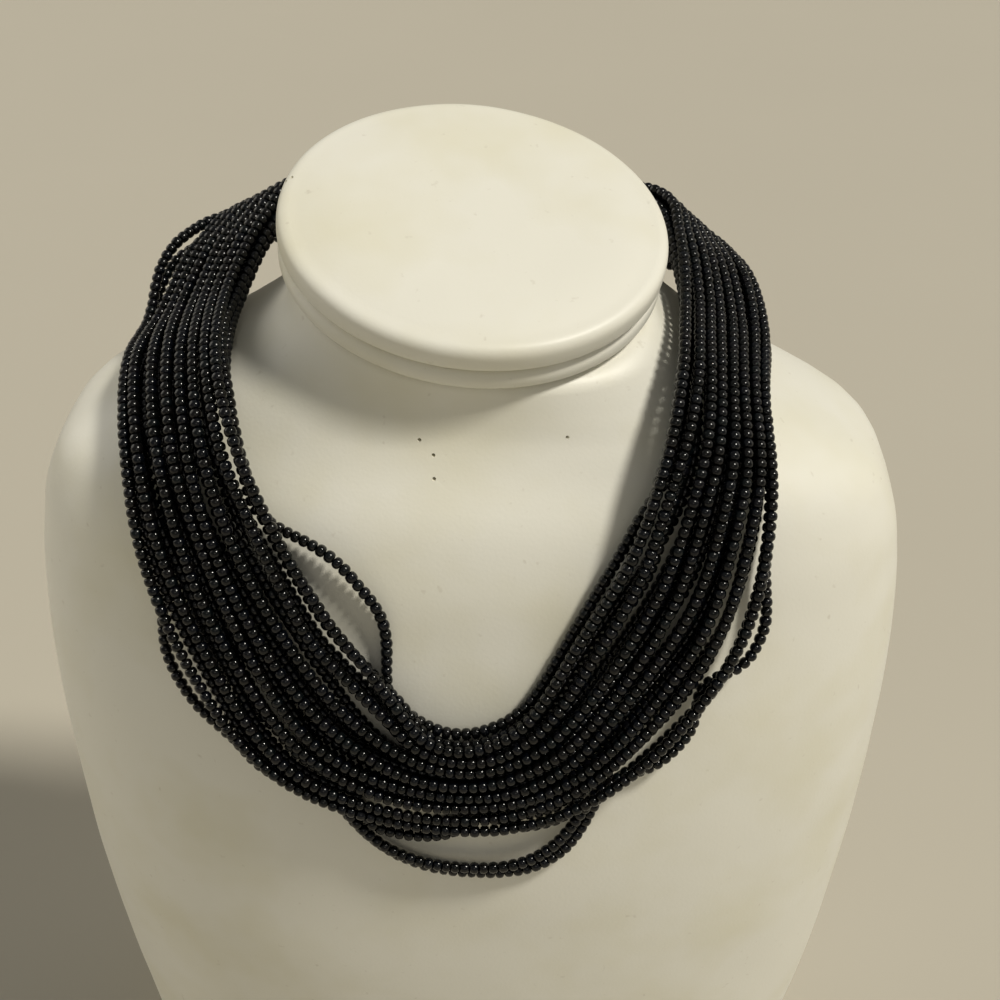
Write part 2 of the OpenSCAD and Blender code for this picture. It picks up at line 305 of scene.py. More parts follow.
def on_ribbon(x, u):
    """Points of the middle layer, u being 0 at the inner edge and 1 at the outer edge."""
    row, ahead, behind = ribbon(x), ribbon(x + STEP), ribbon(x - STEP)
    across = row[:, OUTER] - row[:, INNER]
    along = ahead[:, INNER] + ahead[:, OUTER] - behind[:, INNER] - behind[:, OUTER]
    off = unit(np.cross(across, along))
    u = u[:, None]
    return row[:, INNER] + across * u + off * 4 * row[:, [CROWN]] * u * (1 - u)


def share(layer, i, x):
    """Share of the spare width that goes before lane i."""
    rate = 1 + (5 * i + 3 * layer) % 3 + 0.35 * ((7 * i + 2 * layer) % 4)
    turn = rate * x / LAST_ROW + 0.37 * i + 0.23 * layer
    return 1 + WANDER * np.sin(2 * math.pi * turn) + (EDGE_ROOM * layer if i in (0, LANES) else 0)


def loose(layer, lane, x, column, power=1):
    """Sum of a string's swings out of the ribbon: column 4 is the distance, 5 the rise."""
    total = np.zeros_like(x)
    for swing in LOOSE:
        if swing[:2] == (layer, lane):
            t = np.minimum(1, np.abs(x - swing[2]) / swing[3])
            total += swing[column] * (1 - (1 - np.cos(math.pi / 2 * t) ** 2) ** 1.5) ** power
    return total


def across_ribbon(layer, lane, x):
    """Place of a string across the ribbon, as a share of the ribbon's width."""
    row = ribbon(x)
    width = row[:, OUTER] - row[:, INNER]
    middle = np.full_like(x, (lane + 0.5) / LANES)
    along = unit(on_ribbon(x + STEP, middle) - on_ribbon(x - STEP, middle))
    pitch = LANE_PITCH / np.linalg.norm(np.cross(unit(width), along), axis=1)
    length = np.linalg.norm(width, axis=1)
    shares = np.array([share(layer, i, x) for i in range(LANES + 1)])
    spare = (length - (LANES - 1) * pitch) * shares[:lane + 1].sum(0) / shares.sum(0)
    place = lane * pitch + spare + loose(layer, lane, x, 4)
    return (place - (layer - 1) * row[:, LEAN]) / length


def string_route(layer, lane):
    """Points along a string's middle, and the direction off the bust at each."""
    x = np.linspace(0, LAST_ROW, ROUTE_POINTS)
    u = across_ribbon(layer, lane, x)
    side = on_ribbon(x, u + SIDE_STEP) - on_ribbon(x, u - SIDE_STEP)
    along = on_ribbon(x + STEP, u) - on_ribbon(x - STEP, u)
    off = unit(np.cross(side, along))
    height = (layer - 1) * LAYER_PITCH + LAYER_LIFT + loose(layer, lane, x, 5, 3)
    return on_ribbon(x, u) + off * height[:, None], off


def settle(routes, off, width, draw):
    """Moves of the strings from their even routes to where they come to lie.

    Each has slight bends of its own, the upper ones sink into the gaps between the lower ones, and
    strings that would pass through each other are pushed apart."""
    count, stations = routes.shape[:2]
    along = unit(np.gradient(routes, axis=1))
    side = np.cross(off, along)
    x = np.linspace(0, 1, stations)
    knots = np.linspace(0, 1, BENDS)
    across, away = (np.array([np.interp(x, knots, bends) for bends in
                              draw.normal(size=(count, BENDS)).clip(-1.5, 1.5)])[..., None]
                    for _ in range(2))
    layer = (np.arange(count) // LANES)[:, None, None]
    loose_part = np.clip(np.minimum(x, 1 - x) / END_RUN - 0.5, 0, 1)[:, None]
    far_away = 99
    itself = far_away * np.eye(count)[..., None]
    move = (side * across * BEND_ACROSS + off * away * BEND_OFF) * loose_part
    for _ in range(ROUNDS):
        move[:, 1:-1] += EASE * (move[:, :-2] + move[:, 2:] - 2 * move[:, 1:-1])
        move -= off * SINK * (layer > 0)
        place = routes + move
        push = np.zeros_like(move)
        for shift in range(-REACH, REACH + 1):
            beside = place[:, np.clip(np.arange(stations) + shift, 0, stations - 1)]
            apart = place[:, None] - beside[None]
            distance = np.linalg.norm(apart, axis=-1) + itself
            push += (apart * (np.maximum(0, width - distance) / distance)[..., None]).sum(1)
        move += PUSH * push
        depth = (move * off).sum(-1, keepdims=True)
        move -= off * np.minimum(0, depth + LOWEST) * (layer == 0)
        length = np.linalg.norm(move, axis=-1, keepdims=True)
        move *= loose_part * np.minimum(1, STRAY / np.maximum(length, STRAY))
    return move


def between_rows(table, z):
    """Columns of a table at heights z, on a smooth curve through its rows."""
    heights, values = table[:, 0], table[:, 1:]
    run = np.diff(heights)
    rise = np.diff(values, axis=0) / run[:, None]
    inside = rise[:-1] * run[1:, None] + rise[1:] * run[:-1, None]
    slope = np.vstack([rise[:1], inside / (run[:-1] + run[1:])[:, None], rise[-1:]])
    i = np.clip(np.searchsorted(heights, z, side="right") - 1, 0, len(run) - 1)
    t = ((z - heights[i]) / run[i])[..., None]
    step = run[i][..., None]
    return hermite(values[i], step * slope[i], values[i + 1], step * slope[i + 1], t)


def signed_power(value, exponent):
    return np.sign(value) * np.abs(value) ** exponent


def bust_outline(z, angle, inset=0.0):
    """x and y of the bust's skin at each height and angle."""
    half_w, front, back, front_power = np.moveaxis(between_rows(SECTIONS, z), -1, 0)
    is_front = np.sin(angle) < 0
    bend = 2 / np.where(is_front, front_power, BACK_POWER)
    depth = np.where(is_front, front, back) - inset
    return (half_w - inset) * signed_power(np.cos(angle), bend), depth * signed_power(np.sin(angle), bend)


def tilt_at(x, y):
    """Height that the tilt of the oval top adds at a place on the neck."""
    return y * math.tan(PAD_TILT) / math.cos(PAD_SIDE) - x * math.tan(PAD_SIDE)


def grid_faces(rings, sides, closed=False):
    """Four-sided faces between rings of points, and from the last ring to the first if closed."""
    ring = np.arange(rings if closed else rings - 1)[:, None]
    side = np.arange(sides)[None, :]
    after, beside = (ring + 1) % rings, (side + 1) % sides
    corners = [ring * sides + side, ring * sides + beside, after * sides + beside, after * sides + side]
    return np.stack(corners, -1).reshape(-1, 4)


def skin(rings):
    """Points and faces of a closed skin through rings of points, with a flat face at either end."""
    count, sides = rings.shape[:2]
    faces = grid_faces(count, sides).tolist()
    faces.append(list(range(sides))[::-1])
    faces.append(list(range((count - 1) * sides, count * sides)))
    return rings.reshape(-1, 3), faces


def make_piece(name, points, faces, materials, nodes):
    """A smooth mesh of points in millimetres that rides on the body and stands for the nodes."""
    missing = [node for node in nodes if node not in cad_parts]
    if missing:
        raise RuntimeError(f"{name} stands for nodes that the frame lacks: {missing}")
    mesh = bpy.data.meshes.new(name)
    mesh.from_pydata((points * MM).tolist(), [], faces)
    mesh.shade_smooth()
    for material in materials:
        mesh.materials.append(material)
    piece = bpy.data.objects.new(name, mesh)
    bpy.context.scene.collection.objects.link(piece)
    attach(piece, "root")
    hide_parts(*nodes)
    return piece


def add(tree, kind, inputs=(), **settings):
    """Adds a node of a kind, with settings, and inputs as values or as sockets to link from."""
    node = tree.nodes.new(kind)
    for name, value in settings.items():
        setattr(node, name, value)
    for name, value in dict(inputs).items():
        if isinstance(value, bpy.types.NodeSocket):
            tree.links.new(value, node.inputs[name])
        else:
            node.inputs[name].default_value = value
    return node


def new_material(name):
    """An empty node material, with its tree and the socket that takes the finished surface."""
    material = bpy.data.materials.new(name)
    material.use_nodes = True
    tree = material.node_tree
    tree.nodes.clear()
    return material, tree, add(tree, "ShaderNodeOutputMaterial").inputs["Surface"]


def leatherette(settings):
    """Polyurethane film on cloth, embossed with a fine pebble grain and stretched over padding.

    It gives a soft, broad gloss on an off-white that handling has yellowed in wide patches. The
    grain is a little coarser than on the real film, so that it just shows."""
    material, tree, surface = new_material("Leatherette, embossed and stretched")
    place = add(tree, "ShaderNodeTexCoord").outputs["Object"]
    patches = add(tree, "ShaderNodeTexNoise",
                  {"Vector": place, "Scale": 1 / (38 * MM), "Detail": 3, "Roughness": 0.55})
    yellowing = add(tree, "ShaderNodeMapRange",
                    {"Value": patches.outputs["Fac"], "From Min": 0.42, "From Max": 0.75,
                     "To Min": 0.0, "To Max": 0.85})
    specks = add(tree, "ShaderNodeTexNoise",
                 {"Vector": place, "Scale": 1 / (2.6 * MM), "Detail": 2})
    dirt = add(tree, "ShaderNodeMapRange",
               {"Value": specks.outputs["Fac"], "From Min": 0.7, "From Max": 0.8,
                "To Min": 0.0, "To Max": 0.25})
    clean = add(tree, "ShaderNodeMix",
                {"Factor": yellowing.outputs["Result"], "A": settings.cover, "B": settings.aged},
                data_type="RGBA")
    worn = add(tree, "ShaderNodeMix",
               {"Factor": dirt.outputs["Result"], "A": clean.outputs["Result"],
                "B": linear("A89C86")}, data_type="RGBA")
    pebbles = add(tree, "ShaderNodeTexVoronoi",
                  {"Vector": place, "Scale": 1 / settings.grain, "Randomness": 0.9},
                  feature="SMOOTH_F1")
    creases = add(tree, "ShaderNodeTexNoise",
                  {"Vector": place, "Scale": 1 / (6 * MM), "Detail": 4, "Roughness": 0.6})
    relief = add(tree, "ShaderNodeMath",
                 {0: pebbles.outputs["Distance"], 1: creases.outputs["Fac"]}, operation="ADD")
    bump = add(tree, "ShaderNodeBump",
               {"Height": relief.outputs["Value"], "Strength": 0.35, "Distance": 0.06 * MM})
    gloss = add(tree, "ShaderNodeMapRange",
                {"Value": patches.outputs["Fac"], "From Min": 0.3, "From Max": 0.7,
                 "To Min": 0.42, "To Max": 0.55})
    shader = add(tree, "ShaderNodeBsdfPrincipled",
                 {"Base Color": worn.outputs["Result"], "Roughness": gloss.outputs["Result"],
                  "IOR": 1.48, "Coat Weight": 0.12, "Coat Roughness": 0.35,
                  "Normal": bump.outputs["Normal"]})
    tree.links.new(shader.outputs["BSDF"], surface)
    return material


def bead_glass():
    """Opaque glass, cut from drawn cane and tumbled in heat until the ends are round.

    It gives a deep black with a small sharp highlight on each bead. Batches of cane differ, so some
    beads are faintly blue, brown or violet, and some are a little duller."""
    material, tree, surface = new_material("Opaque black glass, drawn and fire rounded")
    tint = add(tree, "ShaderNodeAttribute", attribute_name="batch").outputs["Fac"]
    ramp = add(tree, "ShaderNodeValToRGB", {"Fac": tint})
    ramp.color_ramp.interpolation = "CONSTANT"
    batches = [(0.0, "050606"), (0.4, "05070C"), (0.62, "090808"), (0.78, "07070B"), (0.9, "04080A")]
    for place, colour in batches[2:]:
        ramp.color_ramp.elements.new(place).color = linear(colour)
    for element, (place, colour) in zip(ramp.color_ramp.elements, batches):
        element.position, element.color = place, linear(colour)
    gloss = add(tree, "ShaderNodeMapRange", {"Value": tint, "To Min": 0.1, "To Max": 0.24})
    place = add(tree, "ShaderNodeTexCoord").outputs["Object"]
    ripple = add(tree, "ShaderNodeTexNoise", {"Vector": place, "Scale": 1 / (0.9 * MM), "Detail": 1})
    bump = add(tree, "ShaderNodeBump",
               {"Height": ripple.outputs["Fac"], "Strength": 0.3, "Distance": 0.05 * MM})
    shader = add(tree, "ShaderNodeBsdfPrincipled",
                 {"Base Color": ramp.outputs["Color"], "Roughness": gloss.outputs["Result"],
                  "IOR": 1.52, "Specular IOR Level": 0.35, "Normal": bump.outputs["Normal"]})
    tree.links.new(shader.outputs["BSDF"], surface)
    return material


def bead_thread():
    """Twisted polyester thread: a dull black that closes the small gaps between beads."""
    material, tree, surface = new_material("Polyester thread, twisted")
    place = add(tree, "ShaderNodeTexCoord").outputs["Object"]
    twist = add(tree, "ShaderNodeTexNoise", {"Vector": place, "Scale": 1 / (0.3 * MM)})
    colour = add(tree, "ShaderNodeMix",
                 {"Factor": twist.outputs["Fac"], "A": linear("0A0A0B"), "B": linear("1A191C")},
                 data_type="RGBA")
    shader = add(tree, "ShaderNodeBsdfPrincipled",
                 {"Base Color": colour.outputs["Result"], "Roughness": 0.7})
    tree.links.new(shader.outputs["BSDF"], surface)
    return material


def plated_brass(settings):
    """Nickel-plated brass, spun and then brushed round its axis.

    It gives a satin metal with fine lines round it, duller in wide patches where it is handled."""
    material, tree, surface = new_material("Nickel-plated brass, brushed")
    place = add(tree, "ShaderNodeTexCoord").outputs["Object"]
    stretched = add(tree, "ShaderNodeMapping", {"Vector": place, "Scale": (1 / (0.12 * MM), 40, 40)})
    lines = add(tree, "ShaderNodeTexNoise", {"Vector": stretched.outputs["Vector"], "Scale": 1.0,
                                             "Detail": 2})
    patches = add(tree, "ShaderNodeTexNoise", {"Vector": place, "Scale": 1 / (5 * MM), "Detail": 2})
    rough = add(tree, "ShaderNodeMapRange",
                {"Value": patches.outputs["Fac"], "From Min": 0.3, "From Max": 0.7,
                 "To Min": 0.22, "To Max": 0.4})
    bump = add(tree, "ShaderNodeBump",
               {"Height": lines.outputs["Fac"], "Strength": 0.3, "Distance": 0.02 * MM})
    shader = add(tree, "ShaderNodeBsdfPrincipled",
                 {"Base Color": settings.plating, "Metallic": 1.0,
                  "Roughness": rough.outputs["Result"], "Normal": bump.outputs["Normal"]})
    tree.links.new(shader.outputs["BSDF"], surface)
    return material


def matt_floor(settings):
    """Painted board: plain, pale and dull, with a slight unevenness of its tone."""
    material, tree, surface = new_material("Painted board, rolled")
    place = add(tree, "ShaderNodeTexCoord").outputs["Object"]
    cloud = add(tree, "ShaderNodeTexNoise", {"Vector": place, "Scale": 6.0, "Detail": 3})
    tone = add(tree, "ShaderNodeMapRange",
               {"Value": cloud.outputs["Fac"], "To Min": 0.96, "To Max": 1.0})
    colour = add(tree, "ShaderNodeMix",
                 {"Factor": 1.0, "A": settings.floor, "B": tone.outputs["Result"]},
                 data_type="RGBA", blend_type="MULTIPLY")
    shader = add(tree, "ShaderNodeBsdfPrincipled",
                 {"Base Color": colour.outputs["Result"], "Roughness": 0.8})
    tree.links.new(shader.outputs["BSDF"], surface)
    return material


def shared(name, make):
    """The material of that kind that is there already, or a new one."""
    found = bpy.context.scene.get(name)
    if found is None:
        found = bpy.context.scene[name] = make()
    return found


def on_neck():
    """Matrix from the oval top's own axes to the frame."""
    return (Matrix.Translation(PAD_MIDDLE) @ Matrix.Rotation(PAD_SIDE, 4, "Y")
            @ Matrix.Rotation(PAD_TILT, 4, "X"))


def moved(points, matrix):
    """Points turned and moved by a matrix."""
    m = np.array(matrix)
    return points @ m[:3, :3].T + m[:3, 3]


def waves(points, size, seed):
    """Smooth values of about -1 to 1 that change over a given size in millimetres."""
    shift = Vector((seed * 7.3, seed * 3.1, seed * 5.7))
    flat = points.reshape(-1, 3)
    return np.array([noise.noise(Vector(p) / size + shift) for p in flat]).reshape(points.shape[:-1])


def cut_pin_holes(piece, holes, diameter):
    """Sinks a cone into the piece at each hole: its mouth in the frame and the way in."""
    cone_sides, depth, proud = 14, 2.2, 0.5
    around = 2 * math.pi * np.arange(cone_sides) / cone_sides
    radius = diameter / MM / 2
    points, faces = [], []
    for mouth, way_in in holes:
        way_in = unit(np.array(way_in, float))
        side = unit(np.cross(way_in, [0.0, 0.3, 1.0]))
        up = np.cross(side, way_in)
        circle = np.cos(around)[:, None] * side + np.sin(around)[:, None] * up
        rings = np.array([mouth - way_in * proud + circle * radius,
                          mouth + way_in * depth * 0.4 + circle * radius * 0.8,
                          mouth + way_in * depth + circle * radius * 0.3])
        ring_points, ring_faces = skin(rings[::-1])
        faces += [[i + len(points) * 3 * cone_sides for i in face] for face in ring_faces]
        points.append(ring_points)
    mesh = bpy.data.meshes.new("pins")
    mesh.from_pydata((np.concatenate(points) * MM).tolist(), [], faces)
    pins = bpy.data.objects.new("pins", mesh)
    bpy.context.scene.collection.objects.link(pins)
    boolean = piece.modifiers.new("pins", "BOOLEAN")
    boolean.operation, boolean.solver, boolean.object = "DIFFERENCE", "EXACT", pins
    shown = piece.evaluated_get(bpy.context.evaluated_depsgraph_get())
    cut = bpy.data.meshes.new_from_object(shown)
    if len(cut.polygons) <= len(piece.data.polygons):
        raise RuntimeError(f"the pin holes of {piece.name} weren't cut")
    piece.modifiers.clear()
    piece.data = cut
    cut.set_sharp_from_angle(angle=COVER_SHARP)
    bpy.data.objects.remove(pins)


def bust_rings(softness):
    """Rings of the bust's skin from its flat base to the top of the neck."""
    under_roll = (PAD_THICK + RIM_THICK + 2 * GAP) / math.cos(PAD_TILT) / math.cos(PAD_SIDE)
    neck_top = PAD_MIDDLE[2] - under_roll - tilt_at(*PAD_MIDDLE[:2])
    angle = 2 * math.pi * np.arange(BUST_SIDES) / BUST_SIDES
    heights = np.linspace(BASE_EDGE, neck_top - NECK_EDGE, BUST_RINGS)
    round_over = np.linspace(0, math.pi / 2, 7)[1:]
    heights = np.append(heights, neck_top - NECK_EDGE * (1 - np.sin(round_over)))
    inset = np.append(np.zeros(BUST_RINGS), NECK_EDGE * (1 - np.cos(round_over)))[:, None]
    z, turn = np.meshgrid(heights, angle, indexing="ij")
    follow = between_rows(FOLLOW, z)[..., 0]
    x, y = bust_outline(z, turn, inset)
    x, y = bust_outline(z + follow * tilt_at(x, y), turn, inset)
    rings = np.stack([x, y, z + follow * tilt_at(x, y)], -1)
    swell = waves(rings, 42, 1) + 0.4 * waves(rings, 17, 2)
    outward = unit(np.stack([x / 100, y / 50, np.zeros_like(x)], -1))
    fade = np.clip((heights - BASE_EDGE) / 20, 0, 1)[:, None, None]
    rings = rings + outward * swell[..., None] * softness * fade
    foot = []
    for step in (0, 30, 60):
        a = math.radians(step)
        fx, fy = bust_outline(np.zeros_like(angle), angle, BASE_EDGE * (1 - math.sin(a)))
        foot.append(np.stack([fx, fy, np.full_like(fx, BASE_EDGE * (1 - math.cos(a)))], -1))
    return np.concatenate([foot, rings])


def neck_pin_holes():
    """Mouth and way in of each pin hole in the front of the neck."""
    holes = []
    for x, z in NECK_PINS:
        half_w, front, _, power = between_rows(SECTIONS, np.array([float(z)]))[0]
        y = -front * (1 - (abs(x) / half_w) ** power) ** (1 / power)
        holes.append((np.array([x, y, z]), (-x / half_w, 1, -0.25)))
    return holes


class NECKLACE_OT_bust(bpy.types.Operator):
    """Build the covered bust from its flat base to the top of the neck"""
    bl_idname = "necklace.bust"
    bl_label = "Bust"

    def execute(self, context):
        settings = context.scene.necklace_bust
        cover = shared("leatherette", lambda: leatherette(settings))
        points, faces = skin(bust_rings(settings.softness / MM))
        piece = make_piece("bust_cover", points, faces, [cover], ["bust"])
        cut_pin_holes(piece, neck_pin_holes(), settings.pin_hole)
        return {"FINISHED"}


def rolled_edge(thick, square, steps):
    """Inset and height of a rolled edge from its underside to its top."""
    a = np.linspace(-math.pi / 2, math.pi / 2, steps + 1)
    inset = 1 - np.maximum(np.cos(a), 0) ** (2 / square)
    height = 1 + signed_power(np.sin(a), 2 / square)
    return thick / 2 * np.stack([inset, height], -1)


def oval_rings(profile):
    """Rings of an oval roll from a profile of inset and height, in the oval top's own axes."""
    angle = 2 * math.pi * np.arange(PAD_SIDES) / PAD_SIDES
    inset, height = profile[:, :1], profile[:, 1:]
    x, y = (PAD_A - inset) * np.cos(angle), (PAD_B - inset) * np.sin(angle)
    return np.stack([x, y, height + 0 * x], -1)


def pad_rings(softness):
    """Rings of the padded top: a rolled edge, a slight crown and shallow dents in it."""
    edge = rolled_edge(PAD_THICK, PAD_SQUARE, PAD_EDGE_STEPS)
    inset = np.linspace(PAD_THICK / 2, PAD_B - 1, PAD_TOP_RINGS)[1:]
    crown = PAD_CROWN * (1 - np.clip(1 - (inset - PAD_THICK / 2) / CROWN_RUN, 0, 1) ** 2.2)
    top = np.stack([inset, PAD_THICK + crown], -1)
    rings = oval_rings(np.concatenate([edge, top]))
    rings[..., 2] -= PAD_THICK
    soft = waves(rings, 26, 3) + 0.35 * waves(rings, 11, 4)
    on_top = np.clip((rings[..., 2] + PAD_THICK / 2) / (PAD_THICK / 2), 0, 1)
    rings[..., 2] += soft * softness * on_top
    swell = 1 + 0.35 * softness * waves(rings, 30, 5) / PAD_A
    rings[..., :2] *= swell[..., None]
    return rings


def pad_pin_mouth(rings, x, y):
    """Mouth of a pin hole on the upper side of the padded top, in the top's own axes."""
    upper = rings[rings[..., 2] > -PAD_THICK / 2]
    nearest = np.argmin(np.hypot(upper[:, 0] - x, upper[:, 1] - y))
    return np.array([[x, y, upper[nearest, 2]]])


class NECKLACE_OT_neck_top(bpy.types.Operator):
    """Build the padded oval top of the neck and the thin roll under it"""
    bl_idname = "necklace.neck_top"
    bl_label = "Oval top"

    def execute(self, context):
        settings = context.scene.necklace_bust
        softness = settings.softness / MM
        cover = shared("leatherette", lambda: leatherette(settings))
        rings = pad_rings(softness)
        points, faces = skin(rings)
        pad = make_piece("neck_pad_cushion", moved(points, on_neck()), faces, [cover],
                         ["neck_pad"])
        into = on_neck().to_3x3() @ Vector(PAD_PIN_WAY)
        holes = [(moved(pad_pin_mouth(rings, x, y), on_neck())[0], into) for x, y in PAD_PINS]
        cut_pin_holes(pad, holes, settings.pin_hole)
        edge = rolled_edge(RIM_THICK, RIM_SQUARE, RIM_EDGE_STEPS)
        profile = edge + (RIM_INSET, -PAD_THICK - GAP - RIM_THICK)
        rings = oval_rings(profile)
        rings[..., :2] *= 1 + 0.3 * softness * waves(rings, 24, 6)[..., None] / PAD_A
        points, faces = skin(rings)
        make_piece("neck_rim_roll", moved(points, on_neck()), faces, [cover],
                   ["neck_rim"])
        return {"FINISHED"}


def bead_shape(sides, hole):
    """One bead along Z, its half length and its radius being 1, with a closed skin and a hole."""
    bands, roundness = 6, 2.3
    a = np.linspace(-math.pi / 2, math.pi / 2, bands + 1)[:, None]
    z = signed_power(np.sin(a), 2 / roundness)
    r = hole + (1 - hole) * np.abs(np.cos(a)) ** (2 / roundness)
    around = 2 * math.pi * np.arange(sides) / sides
    points = np.stack([r * np.cos(around), r * np.sin(around), z + 0 * around], -1)
    return points.reshape(-1, 3), grid_faces(bands + 1, sides, closed=True)


def along_route(points, values, places):
    """Values at places along a route, measured from its start, and the route's length."""
    gone = np.concatenate([[0], np.cumsum(np.linalg.norm(np.diff(points, axis=0), axis=1))])
    return np.stack([np.interp(places, gone, values[:, k]) for k in range(3)], -1), gone[-1]


def tube(points, off, radius, sides):
    """A closed tube round a line of points."""
    along = unit(np.gradient(points, axis=0))
    off = unit(off - along * (off * along).sum(1, keepdims=True))
    side = np.cross(off, along)
    around = (2 * math.pi * np.arange(sides) / sides)[None, :, None]
    return skin(points[:, None] + radius * (side[:, None] * np.cos(around) + off[:, None] * np.sin(around)))


def make_string(layer, lane, route, off, settings, materials, draw):
    """One string: beads of uneven length and width on a thread, joined as one mesh."""
    total = along_route(route, route, np.zeros(1))[1]
    count = round(total / (settings.bead_length / MM))
    lengths = 1 + settings.unevenness * draw.normal(size=count).clip(-2, 2)
    lengths *= total / lengths.sum()
    ends = np.concatenate([[0], np.cumsum(lengths)])
    middle = along_route(route, route, (ends[:-1] + ends[1:]) / 2)[0]
    outward = along_route(route, off, (ends[:-1] + ends[1:]) / 2)[0]
    seam = along_route(route, route, ends)[0]
    along = unit(np.diff(seam, axis=0) + 0.1 * draw.normal(size=(count, 3)).clip(-2, 2))
    outward = unit(outward - along * (outward * along).sum(1, keepdims=True))
    side = np.cross(outward, along)
    width = settings.bead_width / MM * (1 + 0.6 * settings.unevenness * draw.normal(size=count).clip(-2, 1))
    points, faces = bead_shape(settings.sides, settings.hole)
    axes = np.stack([side * width[:, None] / 2, outward * width[:, None] / 2,
                     along * lengths[:, None] / 2], 1)
    beads = middle[:, None] + points @ axes
    bead_faces = faces[None] + len(points) * np.arange(count)[:, None, None]
    thread_points, thread_faces = tube(
        seam, along_route(route, off, ends)[0], settings.thread / MM / 2, 5)
    first = count * len(points)
    all_faces = bead_faces.reshape(-1, 4).tolist() + [[i + first for i in face] for face in thread_faces]
    name = f"{LAYERS[layer]}_{lane + 1}"
    piece = make_piece(f"beads_{name}", np.concatenate([beads.reshape(-1, 3), thread_points]),
                       all_faces, materials, [f"strand_{name}"])
    is_thread = np.arange(len(all_faces)) >= count * len(faces)
    piece.data.polygons.foreach_set("material_index", is_thread.astype(np.int32))
    batch = piece.data.attributes.new("batch", "FLOAT", "POINT")
    values = np.concatenate([np.repeat(draw.random(count), len(points)), np.zeros(len(thread_points))])
    batch.data.foreach_set("value", values.astype(np.float32))


class NECKLACE_OT_strings(bpy.types.Operator):
    """Thread the strings of seed beads from end cap to end cap"""
    bl_idname = "necklace.strings"
    bl_label = "Bead strings"

    def execute(self, context):
        settings = context.scene.necklace_strings
        draw = np.random.default_rng(SEED)
        materials = [bead_glass(), bead_thread()]
        lanes = [(layer, lane) for layer in range(len(LAYERS)) for lane in range(LANES)]
        routes, off = (np.array(each) for each in zip(*(string_route(*lane) for lane in lanes)))
        stations = np.linspace(0, ROUTE_POINTS - 1, STATIONS).round().astype(int)
        moves = settle(routes[:, stations], off[:, stations], settings.bead_width / MM, draw)
        for i, (layer, lane) in enumerate(lanes):
            for axis in range(3):
                routes[i, :, axis] += np.interp(range(ROUTE_POINTS), stations, moves[i, :, axis])
            make_string(layer, lane, routes[i], off[i], settings, materials, draw)
        return {"FINISHED"}


def cap_ring(x, half_h, half_t, square):
    """One ring of an end cap or of the clasp: a superellipse across its length."""
    angle = 2 * math.pi * np.arange(CAP_SIDES) / CAP_SIDES
    y = half_t * signed_power(np.cos(angle), 2 / square)
    z = half_h * signed_power(np.sin(angle), 2 / square)
    return np.stack([np.full_like(y, x), y, z], -1)


def cap_rings():
    """Rings of the right end cap: collar, flared body, rolled lip and the recess for the strings."""
    tip, mouth = CLASP_LENGTH / 2 + GAP, CAP_FLOOR + CAP_RECESS
    run = mouth - tip
    flare = np.array([
        [0, 3, 3, 2],
        [0.15, MOUTH_H - 10.4, MOUTH_T - 3.5, 2],
        [0.4, MOUTH_H - 5.5, MOUTH_T - 1.4, 3],
        [0.7, MOUTH_H - 1.5, MOUTH_T - 0.4, 4],
        [1, MOUTH_H, MOUTH_T, 7],
    ])
    rings = []
    for s in np.linspace(0, 1, 26):
        half_h, half_t, square = between_rows(flare, np.array([s]))[0]
        collar = 0.5 * max(0, 1 - abs(s - 0.06) / 0.04)
        lip = 0.35 * max(0, 1 - abs(s - 0.94) / 0.05)
        rings.append(cap_ring(tip + run * s, half_h + collar + lip, half_t + collar + lip, square))
    for inset, back in ((0.3, 0), (CAP_WALL, 0.35)):
        rings.append(cap_ring(mouth - back, MOUTH_H - inset, MOUTH_T - inset, 7))
    rings.append(cap_ring(CAP_FLOOR, MOUTH_H - CAP_WALL, MOUTH_T - CAP_WALL, 7))
    return np.array(rings)


def clasp_rings():
    """Rings of the barrel clasp: rounded ends, a groove near each and the seam of its screw."""
    r, half, edge = CLASP_D / 2, CLASP_LENGTH / 2, 0.8
    profile = [(-half, r - edge)]
    profile += [(-half + edge * (1 - math.cos(a)), r - edge * (1 - math.sin(a)))
                for a in np.linspace(0.3, math.pi / 2, 5)]
    for at, width, deep in ((-half + 2.4, 0.5, 0.3), (0, 0.25, 0.35), (half - 2.4, 0.5, 0.3)):
        profile += [(at - width, r), (at - width / 2, r - deep), (at + width / 2, r - deep), (at + width, r)]
    profile += [(half - edge * (1 - math.cos(a)), r - edge * (1 - math.sin(a)))
                for a in np.linspace(math.pi / 2, 0.3, 5)]
    profile.append((half, r - edge))
    return np.array([cap_ring(x, radius, radius, 2) for x, radius in profile])


class NECKLACE_OT_fastening(bpy.types.Operator):
    """Build the end caps that gather the strings and the barrel clasp between them"""
    bl_idname = "necklace.fastening"
    bl_label = "End caps and clasp"

    def execute(self, context):
        metal = plated_brass(context.scene.necklace_fastening)
        seat = Matrix.Translation(CAP_MIDDLE) @ Matrix.Rotation(CAP_SLANT, 4, "X")
        for name, sign in (("right", 1), ("left", -1)):
            points, faces = skin(cap_rings())
            points = moved(points, seat) * (sign, 1, 1)
            if sign < 0:
                faces = [face[::-1] for face in faces]
            make_piece(f"gathering_cap_{name}", points, faces, [metal],
                       [f"end_cap_{name}"]).data.set_sharp_from_angle(angle=METAL_SHARP)
        points, faces = skin(clasp_rings())
        make_piece("barrel_clasp", moved(points, Matrix.Translation(CAP_MIDDLE)), faces, [metal],
                   ["clasp"]).data.set_sharp_from_angle(angle=METAL_SHARP)
        return {"FINISHED"}


